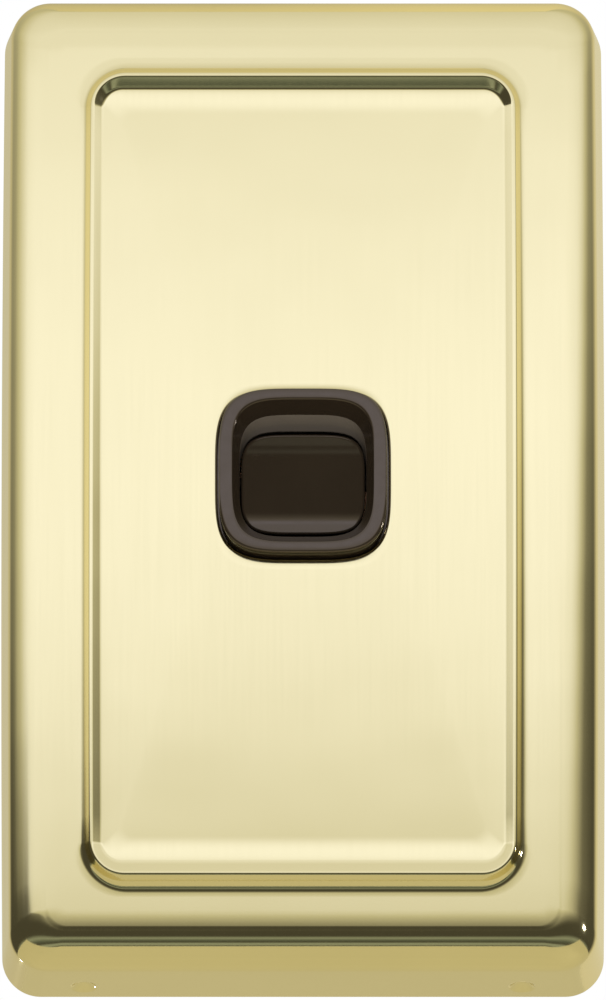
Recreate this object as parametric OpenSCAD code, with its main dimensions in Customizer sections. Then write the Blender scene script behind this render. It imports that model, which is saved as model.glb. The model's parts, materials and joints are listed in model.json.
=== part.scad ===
// Rocker wall switch behind a pressed brass plate: drawn cover, moulded base and a snap-in mechanism.
// Working frame of the modules: x right, y up, z out of the wall. place() turns it so the front faces -Y.
// The rocker group is drawn in its middle position about its pin, then turned to rest, bottom pressed in.

/* [Cover plate] */
// width of the plate at the wall
plate_w = 70.4; // [64:0.4:90]
// height of the plate at the wall
plate_h = 117; // [112:0.5:140]
// wall to the face of the flat border
plate_depth = 15.5; // [14.5:0.1:20]
// thickness of the brass sheet
sheet = 1; // [0.7:0.05:1.3]
// lean of the skirt in degrees
draft = 3.5; // [1:0.25:5]
// rounding of the front edge
edge_r = 5; // [3.5:0.1:5.3]
// corner radius in plan at the wall
corner_r = 6.2; // [6.2:0.1:9]
// distance of the snap dimples from the middle
dimple_x = 25.6; // [20:0.1:27]
// height of the snap dimples over the wall
dimple_z = 4.4; // [3.4:0.1:5]
// depth of the snap dimples
dimple_d = 0.5; // [0.3:0.05:0.6]

/* [Raised bead] */
// border between the skirt and the bead at the sides
border_side = 9.4; // [8:0.1:14]
// border between the skirt and the bead at the ends
border_end = 9.9; // [8:0.1:14]
// corner radius of the bead's outer foot
bead_r = 5; // [3.2:0.1:6]
// width of the bead's outer flank
bead_out = 1.25; // [0.9:0.05:1.6]
// width of the bead's inner flank
bead_in = 1.35; // [0.9:0.05:1.6]
// height of the bead over the border
bead_rise = 1.6; // [1.2:0.05:2]
// radius of the bead's crest
crest_r = 0.5; // [0.4:0.05:0.8]
// height of the middle panel over the border
panel_rise = 0.8; // [0.4:0.05:1]

/* [Bezel] */
// width of the bezel where it passes the plate
bezel_w = 19.5; // [19:0.1:21]
// height of the bezel where it passes the plate
bezel_h = 19.5; // [18.6:0.1:22]
// exponent of the barrel-square outlines
barrel_n = 4.1; // [2.5:0.1:5]
// gap between the bezel and the hole in the plate
hole_gap = 0.2; // [0.1:0.05:0.4]
// height of the ring over the panel
ring_proud = 2.8; // [2.2:0.1:4.5]
// width of the flat ring
ring_face = 1.3; // [1:0.05:1.5]
// width of the dark slope inside the ring
slope_w = 1.2; // [0.8:0.05:1.3]
// depth of the dark slope inside the ring
slope_d = 3.1; // [2.4:0.1:3.4]

/* [Rocker] */
// width of the rocker
rocker_w = 14.35; // [12.5:0.05:15]
// height of the rocker
rocker_h = 11.6; // [10.5:0.05:12]
// width of the raised lips at the rocker's two ends
end_lip = 1.95; // [1.4:0.05:2.4]
// lean of the raised lips in degrees
lip_lean = 15; // [8:0.5:18]
// half of the rocker's travel in degrees
rock_half = 12; // [8:0.5:13]
// side gap between the rocker and its well
well_gap = 0.2; // [0.1:0.05:0.4]
// radius of the pivot pin
pin_r = 0.8; // [0.6:0.05:0.95]
// running clearance of the rocker on its pin
pin_run = 0.05; // [0.02:0.01:0.1]

/* [Mechanism] */
// width of the mechanism body
body_w = 24.7; // [23.5:0.1:26]
// height of the mechanism body
body_h = 25.7; // [24.5:0.1:27]
// wall of the mechanism body
body_wall = 1.5; // [1.2:0.1:1.8]
// wall plane to the rear of the mechanism body
body_back = 10; // [9.7:0.1:14]
// plunger radius
plunger_r = 1.7; // [1.4:0.05:1.9]
// radius of the plunger's round tip
tip_r = 1.2; // [0.9:0.05:1.3]
// lean of the contact lever's two wings in degrees
wing_lean = 7.5; // [6:0.25:8]
// half of the lever's travel in degrees
lever_half = 7; // [5:0.25:8]
// thickness of the contact strips
strip_t = 0.8; // [0.6:0.05:1]
// turns of the plunger spring
spring_turns = 4; // [3:1:4]
// radius of the spring wire
spring_wire = 0.16; // [0.12:0.01:0.2]

/* [Terminals and fixing] */
// distance between the two wall screws
fix_span = 84; // [80:0.1:88]
// radius of the wall screw holes
fix_r = 2.1; // [1.8:0.05:2.4]
// radius of the conductor bores
wire_r = 1.9; // [1.5:0.05:2]
// terminal distance from the middle, sideways
term_x = 6.6; // [6.4:0.05:6.9]
// terminal distance from the middle, up and down
term_y = 8.2; // [8.1:0.05:8.3]
// radius of the terminal screws
screw_r = 1.45; // [1.2:0.05:1.6]

/* [Hidden] */
$fn = 48;
steps = 96;

// heights over the wall
border_z = plate_depth;
panel_z = border_z + panel_rise;
panel_under = panel_z - sheet;
ring_z = panel_z + ring_proud;
lip_z = ring_z - slope_d;
flange_top = panel_under - 1.2;
flange_t = 1.5;
flange_z = flange_top - flange_t;
pin_drop = 1.5;
pin_z = flange_z - pin_drop;
block_deep = 3.6;
block_z = flange_z - block_deep;

// skirt section
skirt_run = (plate_depth - edge_r + edge_r * sin(draft)) / cos(draft);
edge_u = corner_r - skirt_run * sin(draft) - edge_r * cos(draft);
inner_run = (plate_depth - edge_r + (edge_r - sheet) * sin(draft)) / cos(draft);
inner_u = edge_u + (edge_r - sheet) * cos(draft) + inner_run * sin(draft);

// bead section
bead_w = plate_w - 2 * border_side;
bead_h = plate_h - 2 * border_end;
crest = [bead_r - bead_out, border_z + bead_rise - crest_r];
foot_out = [bead_r, border_z];
foot_in = [bead_r - bead_out - bead_in, panel_z];
to_out = foot_out - crest;
to_in = foot_in - crest;
crest_from = atan2(to_out[1], to_out[0]) + acos(crest_r / norm(to_out));
full_turn = 360;
in_turn = to_in[1] < 0 ? full_turn : 0;
crest_to = atan2(to_in[1], to_in[0]) + in_turn - acos(crest_r / norm(to_in));

// snap dimples
spill = 1;
bump_r = 1.4;
bump_in = bump_r - dimple_d;
dent_r = 2.07;
dent_out = dent_r - dimple_d;

// bezel and well
side_more = 0.23;
open_w = bezel_w - 2 * (ring_face + side_more);
open_h = bezel_h - 2 * ring_face;
lip_h = open_h - 2 * slope_w;
well_w = rocker_w + 2 * well_gap;
flange_w = body_w + 1.3;
flange_h = body_h + 2.3;
block_w = body_w - 2 * body_wall - 0.3;
block_h = body_h - 2 * body_wall - 0.3;
swing_gap = 0.5;
well_h = rocker_h + 2 * swing_gap;

// rocker, from its pin
face_flat = 1.5;
flat_half = rocker_h / 2 - end_lip;
beyond = rocker_h / 2 + spill;
face_end = face_flat + (beyond - flat_half) * tan(lip_lean);
rocker_back = -1.8;
stem_r = plunger_r + 1.2;
stem_end = -5.9;
bore_floor = -2.6;
bore_r = plunger_r + 0.05;

// lever and contacts
floor_z = -0.6;
lever_z = 1.5;
lever_t = strip_t;
pin_to_lever = pin_z - lever_z;
tip_at = pin_to_lever - lever_t - tip_r - 0.09;
lever_w = 4.4;
trunnion_r = 0.45;
trunnion_x = 2.85;
lever_side = 2;
knife_half = 1.9;
knife_r = 0.5;
knife_drop = knife_r + 0.04;
cheek_in = 2.4;
cheek_out = 2.9;
cheek_h = 2.6;
cheek_half = 1.5;
wing = 6.6;
touch_s = 5.5;
tip_rivet_r = 1.3;
moving_tip = 0.7;
touch_z = lever_z - touch_s * sin(lever_half) + (touch_s * tan(wing_lean) - moving_tip) * cos(lever_half);
strip_low = floor_z + 0.02;
strip_top = strip_low + strip_t;
strip_w = 3.2;
leg_t = 0.8;
fixed_tip = touch_z - 0.05 - strip_top;

// plunger and spring, from the pin
cup_from = bore_floor - 1;
cup_floor = 1 - tip_at;
spring_from = bore_floor - 0.05;
spring_to = cup_floor + 0.05;
spring_mid_r = 0.86;
spring_pitch = (spring_from - spring_to - 2 * spring_wire) / spring_turns;
spring_gap = spring_pitch - 2 * spring_wire;
echo(least_spring_gap = spring_gap);

// terminals
term_w = 6.4;
term_fit = 0.1;
term_h = 2 * (body_h / 2 - body_wall - 0.15 - term_y);
term_front = -2.6;
term_rear = term_fit - body_back;
wire_z = term_front - 0.7 - wire_r;
screw_tip = wire_z - wire_r - 0.2;
screw_len = 5;
leg_y = term_y - 1.8;
cover_t = 1.5;

// moulded base
base_gap = 0.9;
base_w = plate_w - 2 * sheet - 2 * base_gap;
base_h = plate_h - 2 * sheet - 2 * base_gap;
base_r = corner_r - sheet - base_gap;
base_floor = 2.4;
base_wall = 1.6;
base_rim = 9;
rib_h = 6;
collar_z = flange_z - 0.05;
collar_w = body_w + 3.7;
collar_h = body_h + 3.7;
post_x = 18;
post_inset = 7.3;
post_y = bead_h / 2 - post_inset;
ridge_z = dimple_z + 1.2;
ridge_back = 4;
ridge_w = 6;

function sgn(v) = v < 0 ? -1 : 1;
function barrel(w, h, n) = [for (i = [0:steps - 1])
    let (c = cos(360 * i / steps), s = sin(360 * i / steps))
    [w / 2 * sgn(c) * pow(abs(c), 2 / n), h / 2 * sgn(s) * pow(abs(s), 2 / n)]];
function arc(c, r, a, b, n) = [for (i = [0:n])
    [c[0] + r * cos(a + (b - a) * i / n), c[1] + r * sin(a + (b - a) * i / n)]];
function down(points, by) = [for (i = [len(points) - 1:-1:0]) [points[i][0], points[i][1] - by]];

module place() {
    rotate([90, 0, 0]) children();
}

module about_pin(angle) {
    translate([0, 0, pin_z]) rotate([angle, 0, 0]) children();
}

module about_lever(angle) {
    translate([0, 0, lever_z]) rotate([angle, 0, 0]) children();
}

module rounded(w, h, r) {
    square([w - 2 * r, h], center = true);
    square([w, h - 2 * r], center = true);
    for (sx = [-1, 1])
        for (sy = [-1, 1])
            translate([sx * (w / 2 - r), sy * (h / 2 - r)]) circle(r);
}

module slab(w, h, z0, z1) {
    translate([-w / 2, -h / 2, z0]) cube([w, h, z1 - z0]);
}

// a tapering block between two outlines with the same number of points
module loft(low, z0, high, z1) {
    n = len(low);
    points = concat([for (p = low) [p[0], p[1], z0]], [for (p = high) [p[0], p[1], z1]]);
    sides = [for (i = [0:n - 1]) let (j = (i + 1) % n) each [[i, i + n, j], [j, i + n, j + n]]];
    polyhedron(points, concat([[for (i = [0:n - 1]) i]], [[for (i = [n - 1:-1:0]) i + n]], sides));
}

// carries a section (distance from the corner centre, height) around a rounded rectangle
module around(w, h, r) {
    for (k = [0:3]) {
        along = k % 2 == 0 ? h / 2 - r : w / 2 - r;
        out = k % 2 == 0 ? w / 2 - r : h / 2 - r;
        rotate([0, 0, 90 * k]) {
            translate([out, along, 0]) rotate([90, 0, 0]) linear_extrude(height = 2 * along) children();
            translate([out, along, 0]) rotate_extrude(angle = 90) children();
        }
    }
}

module skirt_section() {
    c = [edge_u, border_z - edge_r];
    polygon(concat(
        [[corner_r, 0]],
        arc(c, edge_r, draft, 90, 10),
        [[0, border_z], [0, border_z - sheet]],
        arc(c, edge_r - sheet, 90, draft, 8),
        [[inner_u, 0]]));
}

module bead_section() {
    top = concat([foot_out], arc(crest, crest_r, crest_from, crest_to, 10), [foot_in], [[0, panel_z]]);
    polygon(concat(top, down(top, sheet)));
}

module dimple_spots(out) {
    for (sx = [-1, 1])
        for (sy = [-1, 1])
            translate([sx * dimple_x, sy * out, dimple_z]) children();
}

module cover_plate() {
    skin_y = plate_h / 2 - dimple_z * tan(draft);
    color([0.85, 0.75, 0.45]) place() difference() {
        union() {
            around(plate_w, plate_h, corner_r) skirt_section();
            difference() {
                slab(plate_w - 2 * corner_r, plate_h - 2 * corner_r, border_z - sheet, border_z);
                translate([0, 0, border_z - 2 * sheet]) linear_extrude(height = 3 * sheet)
                    rounded(bead_w, bead_h, bead_r);
            }
            around(bead_w, bead_h, bead_r) bead_section();
            slab(bead_w - 2 * bead_r, bead_h - 2 * bead_r, panel_under, panel_z);
            dimple_spots(skin_y - sheet + bump_in) sphere(bump_r);
        }
        translate([0, 0, panel_under - spill]) linear_extrude(height = sheet + 2 * spill)
            polygon(barrel(bezel_w + 2 * hole_gap, bezel_h + 2 * hole_gap, barrel_n));
        dimple_spots(skin_y + dent_out) sphere(dent_r);
    }
}

module mounting_base() {
    color([0.9, 0.89, 0.84]) place() difference() {
        union() {
            linear_extrude(height = base_floor) rounded(base_w, base_h, base_r);
            difference() {
                linear_extrude(height = base_rim) rounded(base_w, base_h, base_r);
                translate([0, 0, -1]) linear_extrude(height = base_rim + 2)
                    rounded(base_w - 2 * base_wall, base_h - 2 * base_wall, base_r - base_wall);
            }
            slab(collar_w, collar_h, 0, collar_z);
            for (s = [-1, 1]) {
                translate([0, s * fix_span / 2, 0]) cylinder(r = 4.6, h = rib_h);
                translate([s * 9 - 0.7, -base_h / 2 + 1, 0]) cube([1.4, base_h - 2, rib_h]);
                translate([s > 0 ? collar_w / 2 - 1 : 1 - base_w / 2, -0.7, 0])
                    cube([base_w / 2 - collar_w / 2, 1.4, rib_h]);
                translate([-9, s * fix_span / 2 - 0.7, 0]) cube([18, 1.4, rib_h]);
                latch(s);
                for (t = [-1, 1]) {
                    translate([s * post_x, t * post_y, 0]) cylinder(r = 2.4, h = panel_under - 0.3);
                    translate([s > 0 ? dimple_x - ridge_back : ridge_back - dimple_x - ridge_w,
                        t * (base_h / 2 - 0.01) - (t > 0 ? 0 : 0.35), ridge_z])
                        cube([ridge_w, 0.36, 1]);
                }
            }
        }
        slab(body_w + 0.2, body_h + 0.2, -1, collar_z + 1);
        for (s = [-1, 1])
            translate([0, s * fix_span / 2, -1]) cylinder(r = fix_r, h = rib_h + 2);
    }
}

module latch(s) {
    x0 = flange_w / 2 + 0.15;
    x1 = collar_w / 2 + 0.6;
    rotate([90, 0, 0]) translate([0, 0, -3.5]) linear_extrude(height = 7) polygon([
        [s * x0, collar_z - 2], [s * x1, collar_z - 2], [s * x1, flange_top + 0.85],
        [s * (x0 - 0.35), flange_top + 0.85], [s * (x0 - 0.9), flange_top + 0.4],
        [s * (x0 - 0.9), flange_top + 0.06], [s * x0, flange_top + 0.06]]);
}

module bezel() {
    chamfer = 0.25;
    color([0.2, 0.16, 0.13]) place() difference() {
        union() {
            translate([0, 0, flange_z]) linear_extrude(height = ring_z - chamfer - flange_z)
                polygon(barrel(bezel_w, bezel_h, barrel_n));
            loft(barrel(bezel_w, bezel_h, barrel_n), ring_z - chamfer,
                barrel(bezel_w - 2 * chamfer, bezel_h - 2 * chamfer, barrel_n), ring_z);
            translate([0, 0, flange_z]) linear_extrude(height = flange_t) rounded(flange_w, flange_h, 2);
            translate([0, 0, block_z]) linear_extrude(height = flange_z - block_z + 0.1)
                rounded(block_w, block_h, 1);
            for (s = [-1, 1])
                rotate([0, 90, 0]) translate([0, 0, -3]) linear_extrude(height = 6) polygon([
                    [-block_z - 0.6, s * (block_h / 2 - 0.5)], [-block_z - 0.6, s * block_h / 2],
                    [-block_z - 1.4, s * (block_h / 2 + 0.6)], [-block_z - 1.8, s * (block_h / 2 + 0.6)],
                    [-block_z - 1.8, s * (block_h / 2 - 0.5)]]);
        }
        loft(barrel(well_w, lip_h, barrel_n), lip_z, barrel(open_w, open_h, barrel_n), ring_z);
        loft(barrel(well_w, well_h, barrel_n), pin_z, barrel(well_w, lip_h, barrel_n), lip_z);
        translate([0, 0, block_z - 1]) linear_extrude(height = pin_z - block_z + 1)
            polygon(barrel(well_w, well_h, barrel_n));
        translate([-block_w / 2 - spill, 0, pin_z]) rotate([0, 90, 0])
            cylinder(r = pin_r + 0.01, h = block_w + 2 * spill);
    }
}

module mech_housing() {
    in_w = body_w - 2 * body_wall;
    in_h = body_h - 2 * body_wall;
    front = flange_z - 0.1;
    color([0.16, 0.14, 0.13]) place() difference() {
        translate([0, 0, -body_back]) linear_extrude(height = front + body_back) rounded(body_w, body_h, 1.2);
        slab(in_w, in_h, floor_z, front + 1);
        for (sx = [-1, 1]) {
            for (sy = [-1, 1]) {
                translate([sx * term_x, sy * term_y, 0])
                    slab(term_w + 2 * term_fit, term_h + 2 * term_fit, -body_back - 1, term_front + term_fit);
                translate([sx * term_x, 0, wire_z]) rotate([sy > 0 ? -90 : 90, 0, 0])
                    cylinder(r = wire_r + 0.3, h = body_h);
            }
            translate([-3.4, sx > 0 ? in_h / 2 - 0.5 : -body_h / 2 - 1, block_z + 0.3])
                cube([6.8, body_wall + 1.5, 1.8]);
        }
        leg_slot(-1, 1);
        leg_slot(-1, -1);
        leg_slot(1, -1);
        translate([0, 0, -body_back - 1]) cylinder(r = 0.86, h = 7);
    }
}

module leg_slot(sx, sy) {
    translate([sx * term_x - 1.8, sy * leg_y - 0.6, -3]) cube([3.6, 1.2, 4]);
}

module rear_cover() {
    color([0.16, 0.14, 0.13]) place() difference() {
        translate([0, 0, -body_back - cover_t]) linear_extrude(height = cover_t) rounded(body_w, body_h, 1.2);
        for (sx = [-1, 1])
            for (sy = [-1, 1])
                translate([sx * term_x, sy * term_y, -body_back - cover_t - 1])
                    cylinder(r = screw_r + 0.5, h = cover_t + 2);
        translate([0, 0, -body_back - cover_t - 1]) cylinder(r = 1.1, h = cover_t + 2);
    }
}

module rear_cover_screw() {
    head_z = -body_back - cover_t;
    color([0.75, 0.75, 0.76]) place() difference() {
        union() {
            translate([0, 0, head_z - 1.1]) cylinder(r = 1.9, h = 1.08);
            translate([0, 0, head_z - 0.1]) cylinder(r = 0.85, h = 6);
        }
        translate([-0.25, -3, head_z - 1.6]) cube([0.5, 6, 1]);
    }
}

module rocker_section() {
    polygon([[-beyond, rocker_back], [beyond, rocker_back], [beyond, face_end],
        [flat_half, face_flat], [-flat_half, face_flat], [-beyond, face_end]]);
}

module rocker() {
    color([0.2, 0.15, 0.11]) place() about_pin(rock_half) difference() {
        union() {
            intersection() {
                translate([0, 0, rocker_back]) linear_extrude(height = face_end - rocker_back)
                    polygon(barrel(rocker_w, rocker_h, barrel_n + 0.3));
                rotate([90, 0, 90]) translate([0, 0, -rocker_w]) linear_extrude(height = 2 * rocker_w)
                    rocker_section();
            }
            translate([0, 0, stem_end]) cylinder(r = stem_r, h = rocker_back - stem_end + 0.5);
        }
        translate([-rocker_w, 0, 0]) rotate([0, 90, 0]) cylinder(r = pin_r + pin_run, h = 2 * rocker_w);
        translate([0, 0, stem_end - 1]) cylinder(r = bore_r, h = bore_floor - stem_end + 1);
    }
}

module rocker_pin() {
    color([0.72, 0.73, 0.75]) place() translate([0.1 - block_w / 2, 0, pin_z]) rotate([0, 90, 0])
        cylinder(r = pin_r, h = block_w - 0.2);
}

module plunger() {
    color([0.86, 0.84, 0.78]) place() about_pin(rock_half) difference() {
        union() {
            translate([0, 0, 0.6 - tip_at]) cylinder(r = plunger_r, h = cup_from + tip_at - 0.6);
            translate([0, 0, -tip_at]) cylinder(r = tip_r, h = 0.7);
            translate([0, 0, -tip_at]) sphere(tip_r);
        }
        translate([0, 0, cup_floor]) cylinder(r = plunger_r - 0.45, h = 9);
    }
}

module plunger_spring() {
    per_turn = 8;
    sides = 6;
    rings = per_turn * spring_turns;
    points = [for (i = [0:rings]) for (j = [0:sides - 1])
        let (a = 360 * i / per_turn, b = 360 * j / sides, r = spring_mid_r + spring_wire * cos(b))
        [r * cos(a), r * sin(a),
            spring_to + spring_wire + spring_pitch * i / per_turn + spring_wire * sin(b)]];
    walls = [for (i = [0:rings - 1]) for (j = [0:sides - 1])
        let (k = (j + 1) % sides, p = i * sides, q = p + sides)
        each [[p + j, q + j, q + k], [p + j, q + k, p + k]]];
    start = [for (j = [1:sides - 2]) [0, j, j + 1]];
    end = [for (j = [1:sides - 2]) [rings * sides, rings * sides + j + 1, rings * sides + j]];
    color([0.7, 0.71, 0.73]) place() about_pin(rock_half)
        polyhedron(points, concat(start, walls, end));
}

module contact_lever() {
    rise = wing * tan(wing_lean);
    color([0.78, 0.5, 0.3]) place() about_lever(-lever_half) rotate([0, 90, 0]) {
        translate([0, 0, -lever_w / 2]) linear_extrude(height = lever_w) polygon([
            [0, 0], [-rise, wing], [-rise - lever_t, wing], [-lever_t, 0],
            [-rise - lever_t, -wing], [-rise, -wing]]);
        for (s = [-1, 1])
            translate([0, 0, s > 0 ? lever_side : -trunnion_x])
                cylinder(r = trunnion_r, h = trunnion_x - lever_side);
    }
}

module moving_contacts() {
    color([0.86, 0.87, 0.88]) place() about_lever(-lever_half)
        for (s = [-1, 1])
            translate([0, s * touch_s, touch_s * tan(wing_lean)]) rotate([s * wing_lean, 0, 0])
                translate([0, 0, -moving_tip]) cylinder(r = tip_rivet_r, h = moving_tip);
}

module fixed_strip(s) {
    color([0.78, 0.5, 0.3]) place() {
        translate([-term_x - strip_w / 2, s > 0 ? leg_y - strip_w : -leg_y - leg_t / 2, strip_low])
            cube([term_x + strip_w + leg_t / 2, strip_w + leg_t / 2, strip_t]);
        translate([-term_x - strip_w / 2, s * leg_y - leg_t / 2, term_front])
            cube([strip_w, leg_t, strip_top - term_front]);
    }
}

module fixed_strip_1() {
    fixed_strip(1);
}

module fixed_strip_2() {
    fixed_strip(-1);
}

module fixed_contacts() {
    color([0.86, 0.87, 0.88]) place()
        for (s = [-1, 1])
            translate([0, s * touch_s, strip_top]) cylinder(r = tip_rivet_r, h = fixed_tip);
}

module common_strip() {
    knife_z = lever_z - knife_drop;
    leg_x = term_x - strip_w / 2;
    color([0.78, 0.5, 0.3]) place() {
        translate([-cheek_out, -strip_w / 2, strip_low])
            cube([leg_x + strip_w + cheek_out, strip_w, strip_t]);
        translate([leg_x, -leg_y - leg_t / 2, strip_low])
            cube([strip_w, leg_y + (leg_t + strip_w) / 2, strip_t]);
        translate([leg_x, -leg_y - leg_t / 2, term_front]) cube([strip_w, leg_t, strip_top - term_front]);
        translate([-knife_half, -knife_r, strip_top - 0.1])
            cube([2 * knife_half, 2 * knife_r, knife_z - strip_top + 0.1]);
        translate([-knife_half, 0, knife_z]) rotate([0, 90, 0]) cylinder(r = knife_r, h = 2 * knife_half);
        difference() {
            for (s = [-1, 1])
                translate([s > 0 ? cheek_in : -cheek_out, -cheek_half, strip_top - 0.1])
                    cube([cheek_out - cheek_in, 2 * cheek_half, cheek_h]);
            translate([-cheek_out - spill, 0, lever_z]) rotate([0, 90, 0])
                cylinder(r = trunnion_r + 0.05, h = 2 * (cheek_out + spill));
        }
    }
}

module terminal(sx, sy) {
    color([0.83, 0.68, 0.36]) place() difference() {
        translate([sx * term_x - term_w / 2, sy * term_y - term_h / 2, term_rear])
            cube([term_w, term_h, term_front - term_rear]);
        translate([sx * term_x, sy * term_y, wire_z]) rotate([90, 0, 0])
            translate([0, 0, -term_h]) cylinder(r = wire_r, h = 2 * term_h);
        translate([sx * term_x, sy * term_y, term_rear - 1])
            cylinder(r = screw_r + 0.05, h = wire_z - term_rear + 1);
    }
}

module terminal_1() {
    terminal(-1, 1);
}

module terminal_2() {
    terminal(-1, -1);
}

module terminal_common() {
    terminal(1, -1);
}

module terminal_loop() {
    terminal(1, 1);
}

module terminal_screw(sx, sy) {
    color([0.8, 0.66, 0.38]) place() translate([sx * term_x, sy * term_y, screw_tip - screw_len])
        difference() {
            union() {
                cylinder(r = screw_r, h = screw_len - 0.5);
                cylinder(r = screw_r - 0.4, h = screw_len);
            }
            translate([-0.3, -3, -1]) cube([0.6, 6, 1.9]);
        }
}

module terminal_screw_1() {
    terminal_screw(-1, 1);
}

module terminal_screw_2() {
    terminal_screw(-1, -1);
}

module terminal_screw_common() {
    terminal_screw(1, -1);
}

module terminal_screw_loop() {
    terminal_screw(1, 1);
}

cover_plate();
mounting_base();
bezel();
mech_housing();
rear_cover();
rear_cover_screw();
rocker();
rocker_pin();
plunger();
plunger_spring();
contact_lever();
moving_contacts();
fixed_strip_1();
fixed_strip_2();
fixed_contacts();
common_strip();
terminal_1();
terminal_2();
terminal_common();
terminal_loop();
terminal_screw_1();
terminal_screw_2();
terminal_screw_common();
terminal_screw_loop();
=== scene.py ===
# Looks of a rocker wall switch: a polished brass plate, a brown rocker in its bezel, and the parts behind.
# Shapes are worked out in millimetres in the plate's frame: x right, y up, z out of the wall.
import json
import math

import bmesh
import bpy
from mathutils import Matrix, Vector


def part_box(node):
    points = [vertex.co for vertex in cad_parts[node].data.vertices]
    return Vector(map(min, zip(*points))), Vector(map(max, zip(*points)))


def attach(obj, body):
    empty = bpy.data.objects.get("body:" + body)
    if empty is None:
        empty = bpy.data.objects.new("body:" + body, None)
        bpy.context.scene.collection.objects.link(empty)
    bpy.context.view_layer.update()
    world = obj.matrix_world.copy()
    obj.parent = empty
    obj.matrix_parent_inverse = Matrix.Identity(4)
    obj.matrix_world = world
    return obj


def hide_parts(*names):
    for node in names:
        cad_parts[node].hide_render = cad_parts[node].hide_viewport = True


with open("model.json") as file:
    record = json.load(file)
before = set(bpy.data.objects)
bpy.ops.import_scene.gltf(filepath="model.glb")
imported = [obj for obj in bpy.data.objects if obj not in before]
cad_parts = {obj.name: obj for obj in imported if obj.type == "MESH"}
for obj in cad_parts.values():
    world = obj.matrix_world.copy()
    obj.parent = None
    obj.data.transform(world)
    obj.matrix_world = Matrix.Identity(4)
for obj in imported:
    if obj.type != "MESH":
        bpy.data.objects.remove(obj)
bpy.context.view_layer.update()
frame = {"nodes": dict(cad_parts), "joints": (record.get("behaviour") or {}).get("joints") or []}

MM = 0.001


def node_size(node):
    """Width, depth and height of a CAD node in millimetres."""
    low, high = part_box(node)
    return [(high[i] - low[i]) / MM for i in range(3)]


def front_of(node):
    """How far a CAD node stands out of the wall, in millimetres."""
    return -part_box(node)[0][1] / MM


def joint_height(name):
    """Distance of a hinge's axis from the wall plane, in millimetres."""
    joint = next(j for j in frame["joints"] if j["name"] == name)
    return -joint["pos_m"][1] / MM


# Cover plate, in millimetres and degrees
plate_w, _, plate_h = node_size("cover_plate")
sheet = 1.0
draft = 4.6
edge_r = 4.8
corner_r = 6.2
wall_corner_r = 4.5
flat_corner_r = 2.2
rim_break = 0.12
dimple_x = 25.6
dimple_z = 4.4
dimple_r = 1.5
dimple_tall = 1.5  # height over width
dimple_deep = 0.8
border_side = 9.4
border_end = 9.9
bead_r = 5.0
bead_out = 1.25
bead_in = 1.35
bead_rise = 1.6
bead_lift = 0.3
crest_r = 0.5
panel_rise = 0.8
hole_gap = 0.2
hole_r = 0.3
hole_land = 0.15
border_z = front_of("cover_plate") - bead_rise
panel_z = border_z + panel_rise
bead_w = plate_w - 2 * border_side
bead_h = plate_h - 2 * border_end

# Softness that the press leaves in the plate
bow = 0.7  # how far the front bends back at its ends
waist = 0.008  # share of the width by which the sides draw in at the ends
edge_tail = 1.8  # width of the border's fall to the rounded edge
edge_slope = 5.0  # slope where that fall ends
side_out = 0.78  # width of the bead's flank at the sides over that at the ends, outside its crest
side_in = 0.82  # the same inside its crest
foot_out_r = 1.5
foot_in_r = 1.0
in_slope = 2.5  # slope of the panel next to the bead
in_bare = 0.8  # how far that slope goes straight
in_tail = 2.0  # how far it then takes to level out
inner_corner_r = 1.6  # corner radius inside the bead at the corner's centre
inner_corner_rate = 0.2  # its growth outwards

slope = math.radians(draft)
lean = math.tan(slope)
edge_fall = math.tan(math.radians(edge_slope)) * edge_tail / 2
edge_mid = corner_r - border_z * lean - edge_r * math.cos(slope) / (1 + math.sin(slope))
edge_u = edge_mid + edge_r * math.sin(math.radians(edge_slope))
edge_c = (edge_mid, border_z - edge_fall - edge_r)
corner_ease = (flat_corner_r + corner_r - edge_u - wall_corner_r) / (corner_r - edge_u) ** 2

# Bezel and rocker, in millimetres and degrees
bezel_w = 19.5
bezel_h = 19.5
barrel_n = 4.1  # power of the barrel-square outline
ring_z = front_of("bezel")
ring_face = 1.3
ring_edge_r = 0.3
side_more = 0.23
slope_w = 1.2
slope_d = 3.1
lip_r = 0.4
flange_w, _, flange_h = node_size("bezel")
flange_gap = 1.2
flange_t = 1.5
flange_r = 2.0
flange_top = panel_z - sheet - flange_gap
flange_z = flange_top - flange_t
block_w = 21.4
block_h = 22.4
block_deep = 3.6
block_r = 1.0
block_z = flange_z - block_deep
barb_w = 6.0
barb_root = 0.5
barb_out = 0.6
barb_low = 0.6
barb_mid = 1.4
barb_high = 1.8
pin_z = joint_height("rocker_press")
pin_r = 0.8
block_pin_gap = 0.01
rocker_pin_gap = 0.05
drill_past = 1.0
rocker_w = node_size("rocker")[0]
rocker_h = 11.6
rocker_squarer = 0.3
rocker_n = barrel_n + rocker_squarer
face_flat = 1.5
end_lip = 1.95
lip_lean = 15.0
crease = 0.9
face_edge_r = 0.3
rocker_break = 0.2
rocker_back = -1.8
rock_rest = 12.0
well_gap_x = 0.2
well_gap_y = 0.5
well_w = rocker_w + 2 * well_gap_x
well_h = rocker_h + 2 * well_gap_y
open_w = bezel_w - 2 * (ring_face + side_more)
open_h = bezel_h - 2 * ring_face
lip_h = open_h - 2 * slope_w
lip_z = ring_z - slope_d
lip_d = ring_face + slope_w
well_d = lip_d + (lip_h - well_h) / 2
stem_r = 2.9
stem_end = -5.9
bore_r = 1.75
bore_floor = -2.6
hole_w = bezel_w + 2 * hole_gap
hole_h = bezel_h + 2 * hole_gap

# Plunger spring, in millimetres from the pin
spring_mid_r = 0.86
spring_wire = 0.16
spring_turns = 4
spring_from = -2.65
spring_to = -6.46

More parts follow.
